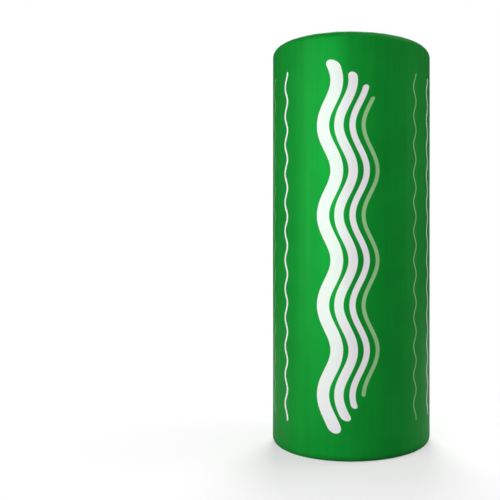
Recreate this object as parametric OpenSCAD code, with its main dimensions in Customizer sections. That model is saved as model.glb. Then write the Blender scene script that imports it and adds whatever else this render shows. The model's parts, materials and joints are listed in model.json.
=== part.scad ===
// Insulation roll: a mineral wool mat, squeezed, wound up and held in a film wrap.
// The roll stands on one end. The origin is at the centre of that end and +Z is the roll's axis.
// All sizes are in millimetres.

/* [Mat] */
// Width of the mat, which is the length of the wool roll along its axis
mat_w = 1200; // [400:10:1400]
// Thickness that one turn of the mat is squeezed to, before whole turns are fitted into the roll
turn_t = 24; // [16:1:60]
// Rise of the rounded edge that each turn shows on the ends of the roll
turn_crown = 4; // [1:0.5:5]
// Depth of the crease between two turns, from the end of the roll
crease_depth = 7; // [6:0.5:14]
// Width of that crease
crease_w = 2; // [0.5:0.5:4]
// Diameter of the eye that the winding leaves at its middle
eye_d = 40; // [20:1:120]

/* [Pack] */
// Outside diameter of the wrapped roll
pack_d = 486; // [360:2:640]
// Outside radius of the rim where the film turns over the end of the roll
rim_r = 20; // [6:1:40]

/* [Film] */
// Thickness of the film with its overlaps
film_t = 0.6; // [0.6:0.1:2]
// How far the film reaches in over each end, measured from the outside of the roll
lip_reach = 75; // [45:1:110]
// Slack between the film and the wool
film_slack = 0.3; // [0.1:0.1:1]

/* [Hidden] */
$fn = 96;

pack_r = pack_d / 2;
eye_r = eye_d / 2;
// The film and its slack surround the wool on every side.
film_layer = film_t + film_slack;
wool_r = pack_r - film_layer;
overall_h = mat_w + 2 * film_layer;
// Whole turns fill the space between the eye and the outside of the wool.
turn_count = max(1, round((wool_r - eye_r) / turn_t));
turn_pitch = (wool_r - eye_r) / turn_count;
// The edge of a turn is as wide as the pitch leaves beside a crease, and an arc over that width crowns it.
edge_w = turn_pitch - crease_w;
crown_r = (pow(edge_w / 2, 2) + pow(turn_crown, 2)) / (2 * turn_crown);
// A cut starts this far outside what it cuts, and a piece that joins another reaches this far into it.
past = 1;

// Half section of an upright cylinder, from its axis to its rounded outer corners
module rounded_half_section(r, h, corner) {
    square([r - corner, h]);
    translate([0, corner]) square([r, h - 2 * corner]);
    for (z = [corner, h - corner]) translate([r - corner, z]) circle(corner);
}

// Section of the lower edge of one turn: a strip as high as a crease is deep, crowned by an arc
module turn_edge(inner_r) {
    intersection() {
        translate([inner_r + crease_w / 2, -past]) square([edge_w, crease_depth + 2 * past]);
        translate([inner_r + turn_pitch / 2, crown_r]) circle(crown_r);
    }
}

// What the film's pull takes off the lower outer corner of the wool: a square less its rounding
module rim_cut(corner) {
    translate([wool_r - corner, corner]) difference() {
        translate([0, -corner - past]) square(corner + past);
        circle(corner);
    }
}

// What is drawn at the lower end of the wool, there and mirrored at the upper end
module at_both_ends() {
    children();
    translate([0, mat_w]) mirror([0, 1]) children();
}

// The wound mat: solid from crease to crease, with the edge of every turn at both ends
module wool_roll() {
    color([0.74, 0.61, 0.49])
    translate([0, 0, film_layer])
    rotate_extrude() difference() {
        union() {
            translate([eye_r, crease_depth]) square([wool_r - eye_r, mat_w - 2 * crease_depth]);
            at_both_ends() for (i = [0 : turn_count - 1]) turn_edge(eye_r + i * turn_pitch);
        }
        at_both_ends() rim_cut(rim_r - film_layer);
    }
}

// The film: a sleeve round the wool that turns over both rims and ends in an open lip
module film_wrap() {
    color([0.09, 0.58, 0.21])
    rotate_extrude() difference() {
        rounded_half_section(pack_r, overall_h, rim_r);
        translate([0, film_t])
            rounded_half_section(pack_r - film_t, overall_h - 2 * film_t, rim_r - film_t);
        translate([-past, -past]) square([pack_r - lip_reach + past, overall_h + 2 * past]);
    }
}

wool_roll();
film_wrap();
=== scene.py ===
"""Looks of an insulation roll: a wound mineral wool mat in a printed film wrap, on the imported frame.

Lengths are in metres and angles in radians, unless a name says otherwise. Angles go round the roll's axis
from the camera's side to its right.
"""
import json
import math

import bmesh
import bpy
import numpy as np
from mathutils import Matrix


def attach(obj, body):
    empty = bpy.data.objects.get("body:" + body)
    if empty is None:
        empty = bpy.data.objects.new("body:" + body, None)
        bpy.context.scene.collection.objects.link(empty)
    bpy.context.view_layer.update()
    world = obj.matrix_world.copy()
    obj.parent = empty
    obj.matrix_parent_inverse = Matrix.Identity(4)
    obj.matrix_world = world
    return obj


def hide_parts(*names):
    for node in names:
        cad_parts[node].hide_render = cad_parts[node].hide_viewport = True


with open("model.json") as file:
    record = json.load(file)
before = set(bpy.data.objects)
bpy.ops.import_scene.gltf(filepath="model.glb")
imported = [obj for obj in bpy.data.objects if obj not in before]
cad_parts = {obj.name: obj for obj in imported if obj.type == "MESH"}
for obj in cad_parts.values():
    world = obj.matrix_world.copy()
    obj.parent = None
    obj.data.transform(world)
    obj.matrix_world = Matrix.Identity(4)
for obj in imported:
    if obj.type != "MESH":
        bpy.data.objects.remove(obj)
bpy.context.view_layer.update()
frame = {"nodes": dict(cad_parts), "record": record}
TURN = 2 * math.pi
HAIR = 1e-5
dice = np.random.default_rng(7)


def node_points(name):
    """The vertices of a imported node, one row each."""
    vertices = frame["nodes"][name].data.vertices
    points = np.empty(len(vertices) * 3, np.float32)
    vertices.foreach_get("co", points)
    return points.reshape(-1, 3).astype(float)


def mount(name):
    """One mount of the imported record."""
    return next(m for m in frame["record"]["mounts"] if m["name"] == name)


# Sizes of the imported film, and how long it is from lip to lip over both rims
film_points = node_points("film_wrap")
film_radii = np.hypot(film_points[:, 0], film_points[:, 1])
FILM_R = film_radii.max()
FILM_H = film_points[:, 2].max()
LIP_R = film_radii.min()
RIM_R = FILM_R - film_radii[film_points[:, 2] < HAIR].max()
LIP_W = FILM_R - RIM_R - LIP_R
FILM_ROUND = TURN * FILM_R

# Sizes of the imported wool, and the turns that its mat makes
wool_points = node_points("wool_roll")
WOOL_R = np.hypot(wool_points[:, 0], wool_points[:, 1]).max()
WOOL_LOW = wool_points[:, 2].min()
WOOL_HIGH = wool_points[:, 2].max()
WOOL_CORNER_R = RIM_R - (FILM_R - WOOL_R)
EYE_R = mount("eye")["dims"]["r_mm"] / 1000
TURNS = 9
PITCH = (WOOL_R - EYE_R) / TURNS


def smooth(x):
    """Eases from 0 to 1 as x goes from 0 to 1, and stays there outside that range."""
    x = np.clip(x, 0, 1)
    return x * x * (3 - 2 * x)


def blend(a, b, share):
    """The value that lies that share of the way from a to b."""
    return a + (b - a) * share


def close_at_ends(count):
    """Shares from 0 to 1 that lie closer together near both ends."""
    return 0.5 - 0.5 * np.cos(np.linspace(0, math.pi, count))


def sines(x, waves):
    """The sum of sine waves, each given by its size, rate and phase."""
    return sum(size * np.sin(x * rate + phase) for size, rate, phase in waves)


def swell(draw, angle, along, count, lobe_range, wave_range):
    """A smooth unevenness of about 1 either way: sine waves whose lobes round the axis, waves to the metre
    of a second measure, and phases are drawn at random."""
    total = 0
    for _ in range(count):
        lobes = draw.integers(*lobe_range, endpoint=True) * draw.choice([-1, 1])
        waves = draw.uniform(*wave_range)
        total = total + np.sin(lobes * angle + waves * TURN * along + draw.uniform(0, TURN))
    return total / math.sqrt(count)


def polar_points(angle, radius, z):
    """Points at those angles round the axis, radii and heights."""
    return np.stack(np.broadcast_arrays(radius * np.sin(angle), -radius * np.cos(angle), z), -1)


def grid_faces(rows, columns, closed):
    """Quads of a grid of points that is stored row by row. A closed grid joins up in both directions."""
    row = np.arange(rows if closed else rows - 1)[:, None]
    column = np.arange(columns if closed else columns - 1)[None, :]
    next_row, next_column = (row + 1) % rows, (column + 1) % columns
    corners = [row * columns + column, row * columns + next_column]
    corners += [next_row * columns + next_column, next_row * columns + column]
    return np.stack([np.broadcast_to(c, (row.size, column.size)) for c in corners], -1).reshape(-1, 4)


def weld(mesh):
    """Joins the points that lie on each other and drops the faces that this leaves with no area."""
    work = bmesh.new()
    work.from_mesh(mesh)
    bmesh.ops.remove_doubles(work, verts=work.verts, dist=HAIR)
    bmesh.ops.dissolve_degenerate(work, edges=work.edges, dist=HAIR)
    work.to_mesh(mesh)
    work.free()


def new_piece(name, points, faces, material, crease_deg):
    """A mesh object on the frame's one body, smooth except where faces meet at more than crease_deg."""
    mesh = bpy.data.meshes.new(name)
    mesh.from_pydata(points.tolist(), [], faces.tolist())
    mesh.materials.append(material)
    mesh.shade_smooth()
    mesh.set_sharp_from_angle(angle=math.radians(crease_deg))
    piece = bpy.data.objects.new(name, mesh)
    bpy.context.scene.collection.objects.link(piece)
    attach(piece, "root")
    return piece


def add_point_values(piece, name, values):
    """Stores one number per vertex under that name."""
    attribute = piece.data.attributes.new(name, "FLOAT", "POINT")
    attribute.data.foreach_set("value", values.astype(np.float32).ravel())


# Film: a sleeve with a lap up its back, whose ends turn over the rims and gather there in pleats

FILM_T = 0.0006
FILM_CREASE_DEG = 55
# Rows of its section: in over a lip, round a rim and up the side
OUTER_ROWS = (18, 9, 40)
INNER_ROWS = (6, 6, 6)
# Each pleat climbs across most of its width and then drops to the next; the first starts at the seam.
PLEATS = 46
PLEAT_JITTER = 0.28
PLEAT_CLIMB_COLUMNS = 8
PLEAT_DROP_COLUMNS = 4
PLEAT_DROP_AT = 0.93
PLEAT_DROP_W = 0.05
PLEAT_SIZE = (0.45, 1.25)
PLEAT_RISE_TOP = 0.0026
PLEAT_RISE_BASE = 0.0012
PLEAT_SWIRL = 0.07
# How far the columns crowd towards the drops where the film runs straight
COLUMNS_CROWD = 0.5
# The rim does this share of the gathering and the lip the rest. At PLEATED_AT the pleats are in place.
RIM_GATHER = 0.14
LIP_GATHER_POWER = 0.8
PLEATED_AT = 0.5
# The upper lip curls up from the middle of its width on, and both lips end in a ragged edge.
LIP_CURL = 0.003
LIP_CURL_FROM = 0.5
EDGE_RAGGED = 0.0035
PUCKER = 0.0003
PUCKER_REACH = 0.05
# An unevenness has its number of waves, their range of lobes and their range of waves to the metre.
UNEVEN = 0.0003
UNEVEN_WAVES = (9, (1, 5), (0, 2.4))
FLUTES = 0.00022
FLUTE_WAVES = (7, (7, 19), (0, 0.5))
# The seam wanders a little. The lap climbs onto the layer under it and is welded near its edge.
SEAM_AT = math.radians(166)
SEAM_WANDER = 0.0016
SEAM_WANDER_RATES = (17, 6.1)
LAP_W = 0.07
LAP_CLIMB = 0.02
LAP_RISE = 0.0009
WELD_AT = 0.008
WELD_W = 0.0018
WELD_DEPTH = 0.0006
SEAM_STEPS = (0.013, 0.0115, 0.0105, 0.0095, 0.0085, 0.0075, 0.0065, 0.0055, 0.0045, 0.003, 0.0004)


def pleat_columns():
    """The film's columns: the angle of each where it runs straight and where it lies in the pleats, its
    height in its pleat as a share, the number of that pleat, the way on to the lap's edge, and the shorter
    way to the seam."""
    jitter = dice.uniform(-PLEAT_JITTER, PLEAT_JITTER, PLEATS)
    jitter[0] = 0
    starts = SEAM_AT + TURN * (np.arange(PLEATS) + jitter) / PLEATS
    widths = np.diff(np.append(starts, starts[0] + TURN))
    climb = np.arange(PLEAT_CLIMB_COLUMNS) / PLEAT_CLIMB_COLUMNS
    drop = np.arange(PLEAT_DROP_COLUMNS) / (PLEAT_DROP_COLUMNS - 1)
    across = np.concatenate([climb * PLEAT_DROP_AT, PLEAT_DROP_AT + drop * PLEAT_DROP_W])
    fold = np.tile(np.concatenate([smooth(climb), 1 - smooth(drop)]), PLEATS)
    even = np.arange(across.size) / across.size
    straight = (starts[:, None] + widths[:, None] * blend(even, across, COLUMNS_CROWD)).ravel()
    pleated = (starts[:, None] + widths[:, None] * across).ravel()
    # More columns shape the edge of the lap.
    edge = SEAM_AT + TURN - np.array(SEAM_STEPS) / FILM_R
    every = np.sort(np.append(straight, edge))
    once_round = np.append(straight, straight[0] + TURN)
    past_seam = (every - SEAM_AT) * FILM_R
    to_edge = FILM_ROUND - past_seam
    return {
        "straight": every,
        "pleated": np.interp(every, once_round, np.append(pleated, pleated[0] + TURN)),
        "fold": np.interp(every, once_round, np.append(fold, fold[0])),
        "pleat": np.searchsorted(starts, every, side="right") - 1,
        "to_edge": to_edge,
        "from_seam": np.minimum(past_seam, to_edge),
    }


def film_profile(lip_rows, rim_rows, side_rows):
    """The rows of the film's section from the edge of the lower lip to that of the upper one: radius,
    height, normal, share of the way in over a lip, nearness to a lip round a rim, distance from the rim on
    the side, and 1 in the upper half."""
    lip = np.linspace(1, 0, lip_rows, endpoint=False)
    rim = np.linspace(0, 1, rim_rows, endpoint=False)
    turned = rim * math.pi / 2
    no_lip, no_rim, no_side = np.zeros(lip_rows), np.zeros(rim_rows), np.zeros(side_rows)
    low_end = {
        "r": np.concatenate([FILM_R - RIM_R - lip * LIP_W, FILM_R - RIM_R + RIM_R * np.sin(turned)]),
        "z": np.concatenate([no_lip, RIM_R - RIM_R * np.cos(turned)]),
        "nr": np.concatenate([no_lip, np.sin(turned)]),
        "nz": np.concatenate([no_lip - 1, -np.cos(turned)]),
        "lip": np.concatenate([lip, no_rim]),
        "rim": np.concatenate([no_lip + 1, 1 - rim]),
    }
    high_end = {key: value[::-1].copy() for key, value in low_end.items()}
    high_end["z"] = FILM_H - high_end["z"]
    high_end["nz"] = -high_end["nz"]
    side = {"r": no_side + FILM_R, "z": RIM_R + close_at_ends(side_rows) * (FILM_H - 2 * RIM_R)}
    side |= {"nr": no_side + 1, "nz": no_side, "lip": no_side, "rim": no_side}
    rows = {key: np.concatenate([low_end[key], side[key], high_end[key]])[:, None] for key in low_end}
    rows["from_rim"] = np.clip(np.minimum(rows["z"] - RIM_R, FILM_H - RIM_R - rows["z"]), 0, None)
    rows["upper"] = (rows["z"] > FILM_H / 2).astype(float)
    return rows


def lap_share(to_edge):
    """How far the film has climbed onto the layer under its lap."""
    return smooth((LAP_W - to_edge) / LAP_CLIMB)


def outer_relief(rows, columns, size, folded, pressed):
    """How far the outer side of the film stands out, with its pleats, puckers, flutes, lap and weld."""
    angle, to_edge = columns["straight"], columns["to_edge"]
    off_rim = 1 - rows["rim"]
    # At the base the pleats go inward from the plain section, because the roll stands there.
    out = blend(PLEAT_RISE_BASE * (folded - pressed), PLEAT_RISE_TOP * folded, rows["upper"])
    near_rim = np.exp(-rows["from_rim"] / PUCKER_REACH)
    out = out + PUCKER * (columns["fold"] - 0.5) * size * near_rim * off_rim
    out = out + UNEVEN * swell(dice, angle, rows["z"], *UNEVEN_WAVES) * off_rim
    out = out + FLUTES * swell(dice, angle, rows["z"], *FLUTE_WAVES) * off_rim
    weld_share = np.exp(-(((to_edge - WELD_AT) / WELD_W) ** 2))
    return out + (LAP_RISE * lap_share(to_edge) - WELD_DEPTH * weld_share) * (1 - rows["lip"])


def seam_wander(z, from_seam):
    """How far the film beside the seam is shifted round the roll."""
    first, second = SEAM_WANDER_RATES
    wander = SEAM_WANDER * np.sin(z * first) * np.sin(z * second + 1)
    return wander * smooth(1 - from_seam / LAP_W)


def film_side(rows, columns, sizes, edges, outside):
    """The grid of points of one side of the film, and how much film lies on each other there."""
    upper, lip = rows["upper"], rows["lip"]
    fold, pleat = columns["fold"], columns["pleat"]
    gather = RIM_GATHER * rows["rim"] + (1 - RIM_GATHER) * lip**LIP_GATHER_POWER
    size = blend(sizes[0][pleat], sizes[1][pleat], upper)
    folded = fold * size * gather
    pressed = PLEAT_SIZE[1] * gather
    if outside:
        out = outer_relief(rows, columns, size, folded, pressed)
    else:
        out = -FILM_T - PLEAT_RISE_BASE * pressed * (1 - upper)
    out = out + LIP_CURL * upper * smooth((lip - LIP_CURL_FROM) / (1 - LIP_CURL_FROM))
    ragged = EDGE_RAGGED * (blend(edges[0][pleat], edges[1][pleat], upper) + fold - 0.5)
    radius = rows["r"] + out * rows["nr"] - ragged * lip**2
    angle = blend(columns["straight"], columns["pleated"], smooth(gather / PLEATED_AT))
    angle = angle + PLEAT_SWIRL * lip + seam_wander(rows["z"], columns["from_seam"]) / FILM_R
    z = np.maximum(rows["z"] + out * rows["nz"], HAIR)
    layers = np.clip(folded + lap_share(columns["to_edge"]) * (1 - lip), 0, 1)
    return polar_points(angle, radius, z), layers


def make_film(material):
    """The film as one closed thin skin: out over the pleats, and back along its smooth inner side."""
    columns = pleat_columns()
    sizes = dice.uniform(*PLEAT_SIZE, (2, PLEATS))
    edges = dice.uniform(-1, 1, (2, PLEATS))
    outer, outer_layers = film_side(film_profile(*OUTER_ROWS), columns, sizes, edges, True)
    inner, inner_layers = film_side(film_profile(*INNER_ROWS), columns, sizes, edges, False)
    ring = np.concatenate([outer, inner[::-1]])
    faces = grid_faces(*ring.shape[:2], True)
    film = new_piece("film", ring.reshape(-1, 3), faces, material, FILM_CREASE_DEG)
    add_point_values(film, "layers", np.concatenate([outer_layers, inner_layers[::-1]]))
    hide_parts("film_wrap")
    return film


# Wool: one mat, wound up from the eye, so that a single crease winds out between its turns

TURN_COLUMNS = 315
TURN_ROWS = 13
EYE_ROWS = 20
SIDE_ROWS = 8
WOOL_CREASE_DEG = 80
# A sine wave has its size, rate and phase. It goes by the angle wound so far.
CREASE_WANDER = 0.0024
WANDER_WAVES = ((1, 1.93, 0), (0.7, 4.37, 1), (0.4, 9.71, 2))
WANDER_EASE = 1.5
CREASE_DEPTH = 0.013
TIGHT_DEPTH = 0.5 * CREASE_DEPTH
TIGHT_MEAN = 0.5
TIGHT_WAVES = ((0.3, 0.83, 1), (0.2, 2.57, 0))
EYE_DEPTH = 0.006
EYE_UNEVEN = 0.0018
EYE_WAVES = ((0.6, 3, 1),)
# A turn has its full crown where it is wide enough.
CROWN_POWER = 7
CROWN_FULL_W = 0.5 * PITCH
TURN_UNEVEN = 0.0021
TURN_WAVES = ((1, 0.71, 0), (0.7, 1.93, 2), (0.4, 11.3, 1))
# Lines of the mat's layers: their radians to the metre, and the swing, lobes and phase of their sway
BED_RELIEF = 0.0004
BED_LINES = ((900, 2, 5, 0), (1250, 3, 9, 1))
FELT_RELIEF = 0.0008
FELT_WAVES = (18, (14, 79), (30, 120))
FELT_SEED = 3
# The top swells in the open middle, and from just inside the lip on it is pressed flatter.
DOME = 0.007
LIP_PRESS = 0.004
LIP_PRESS_FROM = LIP_R - 0.012
LIP_PRESS_OVER = 0.02
PRESSED_UNEVEN = 0.3
BASE_CLEAR = 0.0015


def crease_radius(wound):
    """Radius of the crease, by the angle wound so far. It wanders, except at its two ends."""
    free = smooth(wound / WANDER_EASE) * smooth((TURN * TURNS - wound) / WANDER_EASE)
    return EYE_R + PITCH * wound / TURN + CREASE_WANDER * sines(wound, WANDER_WAVES) * free


def crease_depth(wound):
    """Depth of the crease, which is tighter in some places than in others and even round the outside."""
    wound = np.minimum(wound, TURN * TURNS)
    tight = TIGHT_MEAN + sines(wound, TIGHT_WAVES)
    return blend(EYE_DEPTH, blend(CREASE_DEPTH, TIGHT_DEPTH, tight), smooth(wound / TURN))


def eye_radius(angle):
    """Radius of the eye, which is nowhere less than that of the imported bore."""
    return EYE_R + EYE_UNEVEN * np.sin(angle / 2) ** 2 * (1 + sines(angle, EYE_WAVES))


def turn_grid():
    """Polar grid of a roll's end whose rows follow the crease, closer together beside it: angle, radius,
    share across the turn, width of the turn, and angle wound so far."""
    angle = np.linspace(0, TURN, TURN_COLUMNS + 1)[None, :]
    shares = close_at_ends(TURN_ROWS + 1)[:, None]
    turns = []
    for turn in range(TURNS + 1):
        wound = angle + TURN * turn
        inside = crease_radius(wound - TURN) if turn else eye_radius(angle)
        outside = crease_radius(wound) if turn < TURNS else np.full_like(angle, WOOL_R)
        # The last row of a turn is the first one of the next.
        share = shares[:-1] if turn < TURNS else shares
        radius = blend(inside, outside, share)
        turns.append(np.broadcast_arrays(angle, radius, share, outside - inside, wound))
    return [np.concatenate(values) for values in zip(*turns)]


def turn_at(angle, radius):
    """Share across its turn, width of that turn and angle wound so far, at any point of a roll's end."""
    creases = crease_radius(angle[..., None] + TURN * np.arange(TURNS))
    turn = (radius[..., None] >= creases).sum(-1)
    edge = np.ones((*angle.shape, 1))
    bounds = np.concatenate([eye_radius(angle)[..., None], creases, WOOL_R * edge], -1)
    inside = np.take_along_axis(bounds, turn[..., None], -1)[..., 0]
    outside = np.take_along_axis(bounds, turn[..., None] + 1, -1)[..., 0]
    width = np.maximum(outside - inside, HAIR)
    return (radius - inside) / width, width, angle + TURN * turn


def bed_lines(angle, radius):
    """The thin layers of the mat, as lines that sway on their way round."""
    lines = 0
    for rate, swing, lobes, phase in BED_LINES:
        lines = lines + np.sin(radius * rate + swing * np.sin(angle * lobes + phase))
    return lines


def felt(angle, radius):
    """A fine unevenness all over a roll's end, the same at every call."""
    return swell(np.random.default_rng(FELT_SEED), angle, radius, *FELT_WAVES)


def end_relief(angle, radius, share, width, wound, dome):
    """How far the wool stands out at its end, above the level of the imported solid."""
    depth = blend(crease_depth(wound - TURN), crease_depth(wound), share)
    crown = (1 - np.abs(2 * share - 1) ** CROWN_POWER) * smooth(width / CROWN_FULL_W)
    under_lip = smooth((radius - LIP_PRESS_FROM) / LIP_PRESS_OVER)
    relief = depth * (crown - 1)
    relief = relief + TURN_UNEVEN * sines(wound, TURN_WAVES) * crown * blend(1, PRESSED_UNEVEN, under_lip)
    relief = relief + (BED_RELIEF * bed_lines(angle, radius) + FELT_RELIEF * felt(angle, radius)) * crown
    swollen = dome * np.sqrt(np.clip(1 - (radius / LIP_R) ** 2, 0, 1))
    relief = relief + blend(swollen, -LIP_PRESS, under_lip)
    past_corner = np.clip(radius - (WOOL_R - WOOL_CORNER_R), 0, WOOL_CORNER_R)
    return relief - (WOOL_CORNER_R - np.sqrt(WOOL_CORNER_R**2 - past_corner**2))


def base_height(relief):
    """Height of the roll's lower end, which stays clear of the pleats that it stands on."""
    return WOOL_LOW + BASE_CLEAR - np.minimum(relief, 0)


def wall(radius, low, high, rows):
    """Rings of a wall between two heights, closer together near both ends."""
    angle = np.linspace(0, TURN, low.size)[None, :]
    return polar_points(angle, radius, blend(low, high, close_at_ends(rows)[:, None]))


def make_wool(material):
    """The wound mat as one closed solid: two wound ends, the eye and the side under the film."""
    grid = turn_grid()
    angle, radius = grid[:2]
    tops = WOOL_HIGH + end_relief(*grid, DOME)
    bases = base_height(end_relief(*grid, 0))
    sheets = [
        polar_points(angle, radius, tops),
        polar_points(angle, radius, bases)[::-1],
        wall(radius[0], bases[0], tops[0], EYE_ROWS),
        wall(WOOL_R, bases[-1], tops[-1], SIDE_ROWS)[::-1],
    ]
    faces, start = [], 0
    for sheet in sheets:
        faces.append(grid_faces(*sheet.shape[:2], False)[:, ::-1] + start)
        start += sheet.size // 3
    points = np.concatenate([s.reshape(-1, 3) for s in sheets])
    wool = new_piece("wool", points, np.concatenate(faces), material, WOOL_CREASE_DEG)
    weld(wool.data)
    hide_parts("wool_roll")
    return wool


# Loose fibres on the open part of the ends

FIBRES_TOP = 7500
FIBRES_BASE = 4500
FIBRE_RINGS = 4
FIBRE_SIDES = 3
FIBRE_POINTS = FIBRE_RINGS * FIBRE_SIDES + 2
FIBRE_CREASE_DEG = 180
# Radii between which fibres start and between which they stay, and how near a turn's middle they start
FIBRE_ROOTS = (EYE_R + 0.003, LIP_R - 0.004)
FIBRE_BOUNDS = (EYE_R + 0.004, LIP_R - 0.002)
FIBRE_SPREAD = 0.42
# Places are drawn so many times over, because those too near the crease are left out.
FIBRE_TRIES = 2
FIBRE_LONG = (0.005, 0.02)
FIBRE_THICK = (0.0001, 0.0003)
FIBRE_HEADING = 0.8
FIBRE_BEND = 1.2
FIBRE_LIFT = (0.0005, 0.0035)
FIBRE_ARCH = (0.7, 1.1)
FIBRE_SINK = 0.0006


def fibre_paths(count, dome):
    """Centrelines of fibres that lie along the turns of an end, off the crease, and dip into the wool."""
    radius = np.sqrt(dice.uniform(*np.square(FIBRE_ROOTS), FIBRE_TRIES * count))
    angle = dice.uniform(0, TURN, FIBRE_TRIES * count)
    off_crease = np.abs(turn_at(angle, radius)[0] - 0.5) < FIBRE_SPREAD
    radius, angle = (a[off_crease][:count, None] for a in (radius, angle))
    step = dice.uniform(*FIBRE_LONG, (count, 1)) / (FIBRE_RINGS + 2)
    share = np.linspace(0, 1, FIBRE_RINGS + 2)[None, :]
    heading = dice.normal(0, FIBRE_HEADING, (count, 1))
    heading = heading + dice.normal(0, FIBRE_BEND, (count, 1)) * (share - 0.5)
    radius = np.clip(radius + np.cumsum(step * np.sin(heading), 1), *FIBRE_BOUNDS)
    angle = np.mod(angle + np.cumsum(step * np.cos(heading), 1) / radius, TURN)
    arch = np.sin(math.pi * share * dice.uniform(*FIBRE_ARCH, (count, 1)))
    lift = dice.uniform(*FIBRE_LIFT, (count, 1)) * arch - FIBRE_SINK
    relief = end_relief(angle, radius, *turn_at(angle, radius), dome)
    return polar_points(angle, radius, relief + lift)


def fibre_faces():
    """Triangles of one fibre: round its first point, between its rings and round its last point."""
    last = FIBRE_POINTS - 1
    faces = []
    for k in range(FIBRE_SIDES):
        after = (k + 1) % FIBRE_SIDES
        faces.append([0, 1 + k, 1 + after])
        for ring in range(FIBRE_RINGS - 1):
            low = 1 + ring * FIBRE_SIDES
            high = low + FIBRE_SIDES
            faces += [[low + k, high + after, low + after], [low + k, high + k, high + after]]
        faces.append([last - FIBRE_SIDES + after, last - FIBRE_SIDES + k, last])
    return np.array(faces)


def fibre_tubes(paths):
    """Tubes that taper to a point at both ends, along many paths at once: points and faces."""
    count = len(paths)
    ahead = np.gradient(paths, axis=1)
    ahead /= np.linalg.norm(ahead, axis=-1, keepdims=True)
    side = np.cross(ahead, [0, 0, 1.0])
    side /= np.linalg.norm(side, axis=-1, keepdims=True)
    side, up = (v[:, 1:-1, None] for v in (side, np.cross(side, ahead)))
    thick = dice.uniform(*FIBRE_THICK, (count, 1, 1, 1))
    turn = TURN * np.arange(FIBRE_SIDES)[None, None, :, None] / FIBRE_SIDES
    rings = paths[:, 1:-1, None] + thick * (np.cos(turn) * side + np.sin(turn) * up)
    points = np.concatenate([paths[:, :1], rings.reshape(count, -1, 3), paths[:, -1:]], 1)
    faces = fibre_faces()[None] + FIBRE_POINTS * np.arange(count)[:, None, None]
    return points.reshape(-1, 3), faces.reshape(-1, 3)


def make_fibres(name, count, dome, upper, material):
    """The loose fibres of one end, each with a tone of its own."""
    paths = fibre_paths(count, dome)
    if upper:
        paths[..., 2] += WOOL_HIGH
    else:
        paths[..., 2] = base_height(paths[..., 2])
    points, faces = fibre_tubes(paths)
    fibres = new_piece(name, points, faces, material, FIBRE_CREASE_DEG)
    add_point_values(fibres, "tone", np.repeat(dice.uniform(0, 1, count), FIBRE_POINTS))


# Materials


class Nodes:
    """A material's node tree, with short calls for the nodes that are used here."""

    def __init__(self, name):
        self.material = bpy.data.materials.new(name)
        self.material.use_nodes = True
        self.tree = self.material.node_tree
        self.tree.nodes.clear()
        self.shader = self.tree.nodes.new("ShaderNodeBsdfPrincipled")
        self.output = self.tree.nodes.new("ShaderNodeOutputMaterial")
        self.feed(self.output.inputs["Surface"], self.shader.outputs["BSDF"])

    def feed(self, socket, value):
        """Links a socket to another one, or sets its constant."""
        if isinstance(value, bpy.types.NodeSocket):
            self.tree.links.new(value, socket)
        else:
            socket.default_value = value

    def math(self, operation, *values):
        """The result of one operation."""
        node = self.tree.nodes.new("ShaderNodeMath")
        node.operation = operation
        for socket, value in zip(node.inputs, values):
            self.feed(socket, value)
        return node.outputs[0]

    def length(self, a, b):
        """The length of a flat vector."""
        return self.math("SQRT", self.math("ADD", self.math("POWER", a, 2.0), self.math("POWER", b, 2.0)))

    def weighted(self, values, weights):
        """The sum of values, each times its weight."""
        parts = [self.math("MULTIPLY", value, weight) for value, weight in zip(values, weights)]
        total = parts[0]
        for part in parts[1:]:
            total = self.math("ADD", total, part)
        return total

    def position(self):
        """The point on the object as three sockets and as a vector."""
        place = self.tree.nodes.new("ShaderNodeTexCoord").outputs["Object"]
        split = self.tree.nodes.new("ShaderNodeSeparateXYZ")
        self.feed(split.inputs[0], place)
        return split.outputs[0], split.outputs[1], split.outputs[2], place

    def vector(self, x, y, z):
        """A vector of three values."""
        node = self.tree.nodes.new("ShaderNodeCombineXYZ")
        for socket, value in zip(node.inputs, (x, y, z)):
            self.feed(socket, value)
        return node.outputs[0]

    def noise(self, vector, scale, detail, roughness):
        """A cloudy value of about 0.3 to 0.7."""
        node = self.tree.nodes.new("ShaderNodeTexNoise")
        self.feed(node.inputs["Vector"], vector)
        for key, value in (("Scale", scale), ("Detail", detail), ("Roughness", roughness)):
            node.inputs[key].default_value = value
        return node.outputs["Fac"]

    def ramp(self, value, low, high, low_out=0.0, high_out=1.0):
        """A value eased from one range to another and held at its ends."""
        node = self.tree.nodes.new("ShaderNodeMapRange")
        node.interpolation_type = "SMOOTHSTEP"
        for socket, item in zip(node.inputs, (value, low, high, low_out, high_out)):
            self.feed(socket, item)
        return node.outputs[0]

    def mix(self, share, first, second):
        """One colour turning into another."""
        node = self.tree.nodes.new("ShaderNodeMix")
        node.data_type = "RGBA"
        self.feed(node.inputs["Factor"], share)
        for socket, colour in ((node.inputs[6], first), (node.inputs[7], second)):
            self.feed(socket, (*colour, 1.0) if isinstance(colour, tuple) else colour)
        return node.outputs[2]

    def attribute(self, name):
        """A number that the mesh stores at its vertices."""
        node = self.tree.nodes.new("ShaderNodeAttribute")
        node.attribute_name = name
        return node.outputs["Fac"]

    def bump(self, height, distance, strength):
        """Relief of the shader's surface."""
        node = self.tree.nodes.new("ShaderNodeBump")
        self.feed(node.inputs["Height"], height)
        node.inputs["Distance"].default_value = distance
        node.inputs["Strength"].default_value = strength
        self.feed(self.shader.inputs["Normal"], node.outputs[0])


def shaded(colour, factor):
    """A colour made lighter or darker."""
    return tuple(factor * c for c in colour)


# Each noise has its scale, detail and roughness, and each bump its height and strength.

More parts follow.
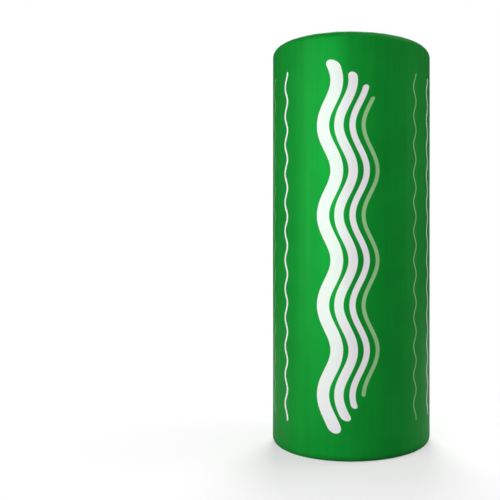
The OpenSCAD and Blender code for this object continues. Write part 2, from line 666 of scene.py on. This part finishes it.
FILM_GREEN = (0.0058, 0.245, 0.026)
GREEN_THIN = shaded(FILM_GREEN, 1.07)
GREEN_THICK = shaded(FILM_GREEN, 0.93)
GREEN_DOUBLE = shaded(FILM_GREEN, 0.45)
DOUBLE_SHARE = 0.3
# Draw lines run up the film: so little of the height counts in their noise.
STREAK_RISE = 0.02
STREAK_NOISE = (70, 3, 0.5)
CLOUD_NOISE = (7, 2, 0.5)
SHADE_WEIGHTS = (0.5, 0.5)
SHADE_RANGE = (0.35, 0.65)
FILM_SPECULAR = 0.7
FILM_SPECULAR_TINT = (0.02, 1.0, 0.13)
FILM_ROUGHNESS = (0.36, 0.42)
ROUGHNESS_NOISE = (24, 4, 0.5)
ROUGHNESS_RANGE = (0.3, 0.7)
# The gathered ends are duller.
GATHER_DULLS = 0.2
GATHER_REACH = 1.5 * RIM_R
WRINKLE_RISE = 0.25
WRINKLE_NOISE = (45, 3, 0.6)
FILM_BUMP = (0.0015, 0.12)

# The print repeats round the film: waves that grow thinner across a panel, and ripples between panels.
PRINT_WHITE = (0.9, 0.85, 0.91)
PRINT_PALE = (0.33, 0.56, 0.28)
PRINT_EDGE = 0.0006
PANELS = 3
PANEL_W = FILM_ROUND / PANELS
PANEL_AT = math.radians(-2.5)
# Swing and length of one wave
WAVE = (0.02, 0.25)
RIPPLE = (0.006, 0.0833)
# Each line has its place across the panel, width, swing, length of one wave and distance from the ends.
WHITE_LINES = (
    (-0.05, 0.036, *WAVE, 0.1),
    (-0.004, 0.026, *WAVE, 0.13),
    (0.034, 0.017, *WAVE, 0.16),
    (-0.205, 0.007, *RIPPLE, 0.1),
)
PALE_LINES = (
    (0.065, 0.011, *WAVE, 0.19),
    (0.219, 0.004, *RIPPLE, 0.1),
)


def print_line(nodes, across, z, at, width, swing, wave, margin):
    """Share of ink of one wave up the film, with round ends."""
    phase = nodes.math("MULTIPLY", z, TURN / wave)
    centre = nodes.math("ADD", nodes.math("MULTIPLY", nodes.math("SINE", phase), swing), at)
    slope = nodes.math("MULTIPLY", nodes.math("COSINE", phase), swing * TURN / wave)
    aside = nodes.math("DIVIDE", nodes.math("SUBTRACT", across, centre), nodes.length(slope, 1.0))
    from_middle = nodes.math("ABSOLUTE", nodes.math("SUBTRACT", z, FILM_H / 2))
    past_end = nodes.math("MAXIMUM", nodes.math("SUBTRACT", from_middle, FILM_H / 2 - margin), 0.0)
    distance = nodes.length(aside, past_end)
    return nodes.ramp(distance, width / 2 - PRINT_EDGE, width / 2 + PRINT_EDGE, 1.0, 0.0)


def film_print(nodes, x, y, z):
    """Shares of white and of pale ink."""
    angle = nodes.math("ARCTAN2", x, nodes.math("MULTIPLY", y, -1.0))
    panels = nodes.math("MULTIPLY", nodes.math("SUBTRACT", angle, PANEL_AT), PANELS / TURN)
    share = nodes.math("FRACT", nodes.math("ADD", panels, PANELS + 0.5))
    across = nodes.math("MULTIPLY", nodes.math("SUBTRACT", share, 0.5), PANEL_W)
    inks = []
    for lines in (WHITE_LINES, PALE_LINES):
        ink = print_line(nodes, across, z, *lines[0])
        for line in lines[1:]:
            ink = nodes.math("MAXIMUM", ink, print_line(nodes, across, z, *line))
        inks.append(ink)
    return inks


def film_material():
    """Satin green film: printed waves, faint draw lines up the roll, denser colour where it overlaps."""
    nodes = Nodes("film")
    x, y, z, place = nodes.position()
    white, pale = film_print(nodes, x, y, z)
    streaks = nodes.noise(nodes.vector(x, y, nodes.math("MULTIPLY", z, STREAK_RISE)), *STREAK_NOISE)
    clouds = nodes.noise(place, *CLOUD_NOISE)
    shade = nodes.weighted((streaks, clouds), SHADE_WEIGHTS)
    green = nodes.mix(nodes.ramp(shade, *SHADE_RANGE), GREEN_THICK, GREEN_THIN)
    doubled = nodes.math("MULTIPLY", nodes.attribute("layers"), DOUBLE_SHARE)
    green = nodes.mix(doubled, green, GREEN_DOUBLE)
    colour = nodes.mix(pale, nodes.mix(white, green, PRINT_WHITE), PRINT_PALE)
    shader = nodes.shader.inputs
    nodes.feed(shader["Base Color"], colour)
    roughness = nodes.ramp(nodes.noise(place, *ROUGHNESS_NOISE), *ROUGHNESS_RANGE, *FILM_ROUGHNESS)
    from_end = nodes.math("MINIMUM", z, nodes.math("SUBTRACT", FILM_H, z))
    dulled = nodes.ramp(from_end, 0.0, GATHER_REACH, GATHER_DULLS, 0.0)
    nodes.feed(shader["Roughness"], nodes.math("ADD", roughness, dulled))
    shader["Specular IOR Level"].default_value = FILM_SPECULAR
    shader["Specular Tint"].default_value = (*FILM_SPECULAR_TINT, 1.0)
    wrinkles = nodes.noise(nodes.vector(x, y, nodes.math("MULTIPLY", z, WRINKLE_RISE)), *WRINKLE_NOISE)
    nodes.bump(wrinkles, *FILM_BUMP)
    return nodes.material


WOOL_DARK = (0.22, 0.085, 0.025)
WOOL_MID = (0.57, 0.335, 0.175)
WOOL_LIGHT = (0.8, 0.61, 0.455)
# The mat's layers go by the radius, and vary slowly on their way round.
BEDS_PER_M = 420.0
BEDS_AROUND = 9.0
BED_NOISE = (1.0, 5, 0.62)
TUFT_NOISE = (60, 5, 0.6)
PATCH_NOISE = (14, 3, 0.5)
# Weights of the layers, tufts and patches in the wool's tone, and where that turns from colour to colour
TONE_WEIGHTS = (0.5, 0.32, 0.18)
MID_RANGE = (0.38, 0.5)
LIGHT_RANGE = (0.46, 0.62)
# Small dark specks are painted shade in the gaps between the fibres.
PIT_SHADE_NOISE = (190, 3, 0.6)
PIT_SHADE_RANGE = (0.34, 0.42)
PIT_SHADE_SHARE = 0.85
WOOL_ROUGHNESS = 0.95
WOOL_SPECULAR = 0.2
WOOL_BUMP = (0.003, 0.7)


def wool_material():
    """Brown mineral wool: thin bedded layers round the axis, with matted and loose patches, and specks of
    painted shade.
    """
    nodes = Nodes("wool")
    x, y, _, place = nodes.position()
    radius = nodes.length(x, y)
    around = [nodes.math("MULTIPLY", nodes.math("DIVIDE", c, radius), BEDS_AROUND) for c in (x, y)]
    beds = nodes.noise(nodes.vector(*around, nodes.math("MULTIPLY", radius, BEDS_PER_M)), *BED_NOISE)
    tufts = nodes.noise(place, *TUFT_NOISE)
    patches = nodes.noise(place, *PATCH_NOISE)
    tone = nodes.weighted((beds, tufts, patches), TONE_WEIGHTS)
    colour = nodes.mix(nodes.ramp(tone, *MID_RANGE), WOOL_DARK, WOOL_MID)
    colour = nodes.mix(nodes.ramp(tone, *LIGHT_RANGE), colour, WOOL_LIGHT)
    # Painted shade: small specks turn towards the dark tone, as if shade fell into gaps between fibres.
    pit_shade = nodes.ramp(nodes.noise(place, *PIT_SHADE_NOISE), *PIT_SHADE_RANGE, PIT_SHADE_SHARE, 0.0)
    colour = nodes.mix(pit_shade, colour, WOOL_DARK)
    shader = nodes.shader.inputs
    nodes.feed(shader["Base Color"], colour)
    shader["Roughness"].default_value = WOOL_ROUGHNESS
    shader["Specular IOR Level"].default_value = WOOL_SPECULAR
    nodes.bump(nodes.math("ADD", beds, tufts), *WOOL_BUMP)
    return nodes.material


FIBRE_PALE = (0.82, 0.7, 0.57)
FIBRE_MID_RANGE = (0.0, 0.5)
FIBRE_PALE_RANGE = (0.3, 1.0)
FIBRE_ROUGHNESS = 0.7
FIBRE_SPECULAR = 0.3


def fibre_material():
    """Loose wool fibres, from fibre to fibre paler or browner."""
    nodes = Nodes("fibres")
    tone = nodes.attribute("tone")
    colour = nodes.mix(nodes.ramp(tone, *FIBRE_MID_RANGE), WOOL_DARK, WOOL_MID)
    colour = nodes.mix(nodes.ramp(tone, *FIBRE_PALE_RANGE), colour, FIBRE_PALE)
    shader = nodes.shader.inputs
    nodes.feed(shader["Base Color"], colour)
    shader["Roughness"].default_value = FIBRE_ROUGHNESS
    shader["Specular IOR Level"].default_value = FIBRE_SPECULAR
    return nodes.material


# Stage

EYE_DISTANCE = 2.125
EYE_HEIGHT = 0.591
LENS = 48.97
SENSOR = 36
SHIFT_X = -0.2026
FLOOR_HALF = 12
SHADOW_REACH = 1.0
FLOOR_GLOW = 0.5
FLOOR_PALE = (0.9, 0.9, 0.9)
FLOOR_BOUNCE = (0.25, 0.25, 0.25)
FLOOR_ROUGHNESS = 0.9
WORLD_LIGHT = 0.05
# Each lamp has its azimuth in degrees, distance, height, width, length, watts, and whether it gives gloss.
LAMPS = {
    "key": (-47, 2.6, 0.75, 2.4, 2.4, 56, True),
    "front": (-20, 2.6, 0.75, 1.2, 2.4, 30, True),
    "fill": (80, 1.6, 3.6, 2.4, 2.4, 26, True),
    "side": (100, 3.0, 0.75, 2.0, 2.4, 60, False),
    "back": (180, 2.2, 2.8, 1.2, 2.4, 110, True),
}


def add_camera():
    """A level camera, shifted sideways because the roll stands right of the picture's middle."""
    data = bpy.data.cameras.new("camera")
    data.lens, data.sensor_width, data.shift_x = LENS, SENSOR, SHIFT_X
    camera = bpy.data.objects.new("camera", data)
    camera.location = (0, -EYE_DISTANCE, EYE_HEIGHT)
    camera.rotation_euler = (math.radians(90), 0, 0)
    bpy.context.scene.collection.objects.link(camera)
    bpy.context.scene.camera = camera


def add_softbox(name, azimuth_deg, distance, height, width, length, watts, gloss):
    """A soft lamp that faces the middle of the roll. Azimuth 0 is the camera's side and 90 its right.
    Without gloss the lamp shows in no reflection."""
    data = bpy.data.lights.new(name, "AREA")
    data.shape, data.size, data.size_y, data.energy = "RECTANGLE", width, length, watts
    lamp = bpy.data.objects.new(name, data)
    turn = math.radians(azimuth_deg)
    lamp.location = (distance * math.sin(turn), -distance * math.cos(turn), height)
    tilt = math.atan2(FILM_H / 2 - height, distance)
    lamp.rotation_euler = (math.pi / 2 + tilt, 0, turn)
    lamp.visible_camera = False
    lamp.visible_glossy = gloss
    bpy.context.scene.collection.objects.link(lamp)


def add_world():
    """Even light from all round, white where the camera looks past the floor."""
    world = bpy.data.worlds.new("world")
    bpy.context.scene.world = world
    world.use_nodes = True
    tree = world.node_tree
    background = tree.nodes["Background"]
    background.inputs["Color"].default_value = (1, 1, 1, 1)
    seen = tree.nodes.new("ShaderNodeLightPath").outputs["Is Camera Ray"]
    strength = tree.nodes.new("ShaderNodeMapRange")
    tree.links.new(seen, strength.inputs["Value"])
    strength.inputs["To Min"].default_value = WORLD_LIGHT
    strength.inputs["To Max"].default_value = 1.0
    tree.links.new(strength.outputs[0], background.inputs["Strength"])


def floor_material():
    """A pale surface that shows the roll's shadow and turns to plain white away from it."""
    nodes = Nodes("floor")
    seen = nodes.tree.nodes.new("ShaderNodeLightPath").outputs["Is Camera Ray"]
    shader = nodes.shader.inputs
    nodes.feed(shader["Base Color"], nodes.mix(seen, FLOOR_BOUNCE, FLOOR_PALE))
    shader["Roughness"].default_value = FLOOR_ROUGHNESS
    shader["Specular IOR Level"].default_value = 0.0
    x, y, _, _ = nodes.position()
    plain = nodes.ramp(nodes.length(x, y), FILM_R, SHADOW_REACH, FLOOR_GLOW, 1.0)
    white = nodes.tree.nodes.new("ShaderNodeEmission")
    both = nodes.tree.nodes.new("ShaderNodeMixShader")
    nodes.feed(both.inputs[0], nodes.math("MULTIPLY", plain, seen))
    nodes.feed(both.inputs[1], nodes.shader.outputs["BSDF"])
    nodes.feed(both.inputs[2], white.outputs[0])
    nodes.feed(nodes.output.inputs["Surface"], both.outputs[0])
    return nodes.material


def add_floor():
    """A wide level floor under the roll."""
    mesh = bpy.data.meshes.new("floor")
    corners = [(-1, -1), (1, -1), (1, 1), (-1, 1)]
    mesh.from_pydata([(a * FLOOR_HALF, b * FLOOR_HALF, 0) for a, b in corners], [], [(0, 1, 2, 3)])
    mesh.materials.append(floor_material())
    floor = bpy.data.objects.new("floor", mesh)
    bpy.context.scene.collection.objects.link(floor)


add_camera()
add_world()
add_floor()
for lamp_name, lamp_values in LAMPS.items():
    add_softbox(lamp_name, *lamp_values)
bpy.context.scene.view_settings.view_transform = "Standard"

film = make_film(film_material())
wool = make_wool(wool_material())
fibre_finish = fibre_material()
make_fibres("top_fibres", FIBRES_TOP, DOME, True, fibre_finish)
make_fibres("base_fibres", FIBRES_BASE, 0, False, fibre_finish)
